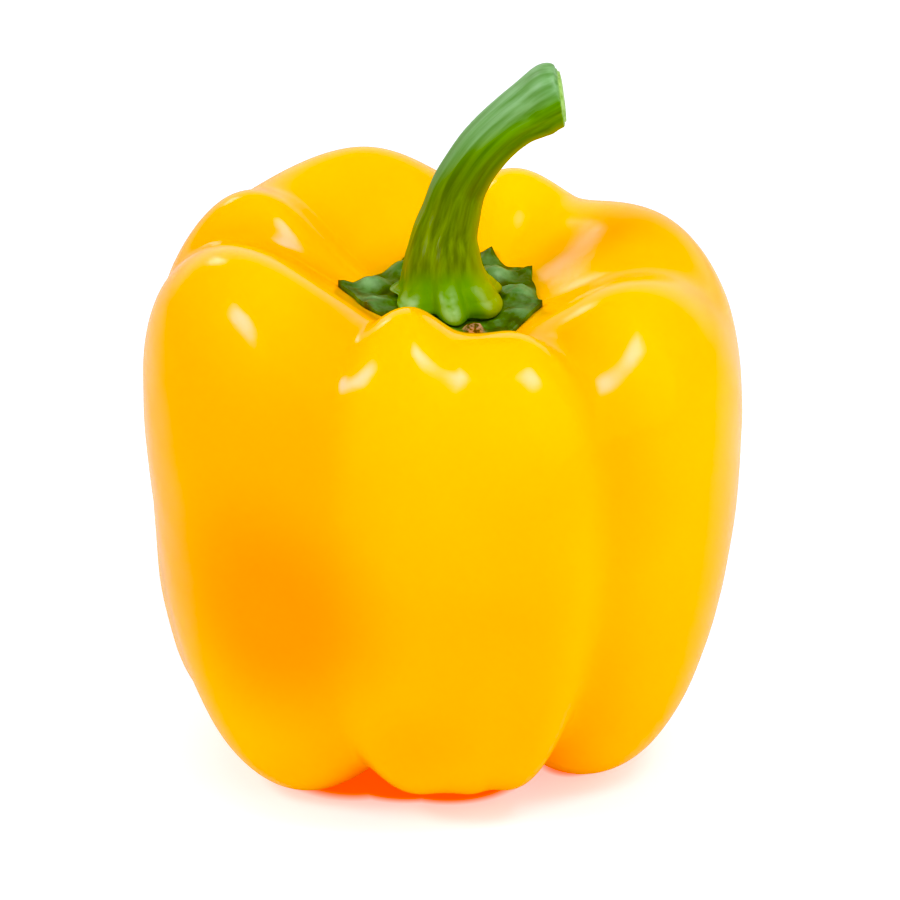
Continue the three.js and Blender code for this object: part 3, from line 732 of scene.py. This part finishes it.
def white_table():
    """Table: white acrylic, lit from below. Near the feet an orange glow and a pink halo are painted on,
    standing in for the light that has passed through the fruit and for the fruit's shadow: full round the
    glow's middle, and fading outwards through the halo. The pepper mirrors it dimmer than it is, so that its
    pale rims stay narrow."""
    material, tree, shader = start_material("white_acrylic")
    place = add_node(tree, "ShaderNodeTexCoord").outputs["Object"]
    glow = 0.0
    for centre, start, end, share in PAINTED_TABLE_GLOWS:
        away = add_node(tree, "ShaderNodeVectorMath", {0: place, 1: centre}, operation="DISTANCE")
        part = add_node(tree, "ShaderNodeMapRange", {
            "Value": away.outputs["Value"], "From Min": end, "From Max": start, "To Max": share},
            interpolation_type="SMOOTHSTEP").outputs["Result"]
        glow = add_node(tree, "ShaderNodeMath", {0: glow, 1: part}, operation="MAXIMUM").outputs["Value"]
    # Painted glow and shadow: near the feet the table's colour and its own light turn orange.
    colour = add_node(tree, "ShaderNodeMix", {
        FACTOR: glow, COLOUR_A: linear("#CBCBCB"), COLOUR_B: linear("#CB4503")}, data_type="RGBA")
    shine = add_node(tree, "ShaderNodeMix", {
        FACTOR: glow, COLOUR_A: linear("#BFBFC7"), COLOUR_B: linear("#DA4A03")}, data_type="RGBA")
    tree.links.new(colour.outputs[COLOUR_OUT], shader.inputs["Base Color"])
    tree.links.new(shine.outputs[COLOUR_OUT], shader.inputs["Emission Color"])
    mirrored = add_node(tree, "ShaderNodeLightPath").outputs["Is Glossy Ray"]
    strength = add_node(tree, "ShaderNodeMath", {
        0: mirrored, 1: -TABLE_DIMMED, 2: 1.0}, operation="MULTIPLY_ADD")
    tree.links.new(strength.outputs["Value"], shader.inputs["Emission Strength"])
    shader.inputs["Roughness"].default_value = 0.45
    return material


def facing(azimuth, elevation):
    """Unit vector from the pepper towards an azimuth and elevation."""
    turn, lift = math.radians(azimuth), math.radians(elevation)
    return mathutils.Vector((
        math.sin(turn) * math.cos(lift), -math.cos(turn) * math.cos(lift), math.sin(lift)))


def softbox(name, azimuth, elevation, distance, size, watts):
    """A rectangular soft light that faces the pepper."""
    light = bpy.data.lights.new(name, "AREA")
    light.shape = "RECTANGLE"
    light.size, light.size_y = size
    light.energy = watts
    lamp = bpy.data.objects.new(name, light)
    lamp.location = mathutils.Vector(CAMERA_TARGET) + facing(azimuth, elevation) * distance
    lamp.rotation_euler = facing(azimuth, elevation).to_track_quat("Z", "Y").to_euler()
    bpy.context.collection.objects.link(lamp)


def set_camera():
    """A long lens at the photograph's viewing angle. The shift puts the pepper where the picture has it."""
    lens = bpy.data.cameras.new("camera")
    lens.sensor_width = SENSOR_MM
    lens.lens = SENSOR_MM * PIXELS_PER_MM * CAMERA_DISTANCE / MM / PICTURE_PIXELS
    lens.shift_x = (PICTURE_PIXELS / 2 - TARGET_PIXEL[0]) / PICTURE_PIXELS
    lens.shift_y = (TARGET_PIXEL[1] - PICTURE_PIXELS / 2) / PICTURE_PIXELS
    lens.dof.use_dof = False
    camera = bpy.data.objects.new("camera", lens)
    camera.location = mathutils.Vector(CAMERA_TARGET) + facing(0, CAMERA_ELEVATION) * CAMERA_DISTANCE
    camera.rotation_euler = facing(0, CAMERA_ELEVATION).to_track_quat("Z", "Y").to_euler()
    bpy.context.collection.objects.link(camera)
    bpy.context.scene.camera = camera


# Brightness of the studio as the pepper sees it, at its sides and at the white wall behind the pepper, the
# cosines of the angles from the middle of the wall between which one goes over into the other, and how much
# of the blue the camera loses.
STUDIO_SIDES = 0.5
STUDIO_WALL = 1.0
WALL_STARTS = 0.62
WALL_FULL = 0.82
BLUE_LOST = 0.07


def white_studio():
    """Surroundings: plain white to the camera. The pepper is lit and mirrored by dimmer sides and a
    bright wall behind it, so that its rims turn pale only where they are seen edge on."""
    world = bpy.data.worlds.new("white_studio")
    world.use_nodes = True
    tree = world.node_tree
    direction = add_node(tree, "ShaderNodeTexCoord").outputs["Generated"]
    towards_wall = add_node(tree, "ShaderNodeVectorMath", {
        0: direction, 1: (0, 1, 0)}, operation="DOT_PRODUCT")
    wall = add_node(tree, "ShaderNodeMapRange", {
        "Value": towards_wall.outputs["Value"], "From Min": WALL_STARTS, "From Max": WALL_FULL,
        "To Min": STUDIO_SIDES, "To Max": STUDIO_WALL}, interpolation_type="SMOOTHSTEP")
    seen = add_node(tree, "ShaderNodeLightPath").outputs["Is Camera Ray"]
    brightness = add_node(tree, "ShaderNodeMath", {0: seen, 1: wall.outputs["Result"]}, operation="MAXIMUM")
    background = tree.nodes["Background"]
    background.inputs["Color"].default_value = (1, 1, 1, 1)
    tree.links.new(brightness.outputs["Value"], background.inputs["Strength"])
    return world


def develop_picture():
    """Response of the camera: it loses the last trace of blue, so that deep yellow stays deep."""
    view = bpy.context.scene.view_settings
    view.view_transform = "Standard"
    view.use_curve_mapping = True
    view.curve_mapping.black_level = (0, 0, BLUE_LOST)
    view.curve_mapping.update()


# Softboxes: azimuth and elevation from the pepper, distance, width and height in metres, and watts.
SOFTBOXES = {
    "upper_right_softbox": (56, 60, 0.7, (0.18, 0.18), 2.2),
    "left_softbox": (-60, 44, 0.7, (0.2, 0.17), 2.5),
    "back_softbox": (-150, 32, 0.7, (0.15, 0.15), 0.35),
    "right_panel": (60, 30, 0.9, (0.8, 0.8), 3.2),
}


def set_stage():
    """White table, white surroundings, softboxes at the upper right, at the left and behind, and a large
    dim panel at the right."""
    bpy.ops.mesh.primitive_plane_add(size=TABLE_SIZE)
    table = bpy.context.object
    table.name = "table"
    table.data.materials.append(white_table())
    bpy.context.scene.world = white_studio()
    for name, (azimuth, elevation, distance, size, watts) in SOFTBOXES.items():
        softbox(name, azimuth, elevation, distance, size, watts)
    develop_picture()


def place_piece(piece, node, material):
    """Gives a piece its material and lets it stand for its node."""
    piece.data.materials.append(material)
    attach(piece, "root")
    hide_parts(node)


set_camera()
set_stage()

low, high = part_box("fruit")
fruit_points, fruit_groove = fruit_surface()
fruit_low = fruit_points.reshape(-1, 3).min(0)
fruit_high = fruit_points.reshape(-1, 3).max(0)
to_frame = (np.array(low) + np.array(high)) / 2 / MM - (fruit_low + fruit_high) / 2
to_frame[2] = 0

place_piece(make_fruit(fruit_points, fruit_groove, to_frame), "fruit", waxy_pepper_skin())
place_piece(make_calyx(to_frame), "calyx", calyx_leaf())
place_piece(make_stem(to_frame), "stem", stem_rind())
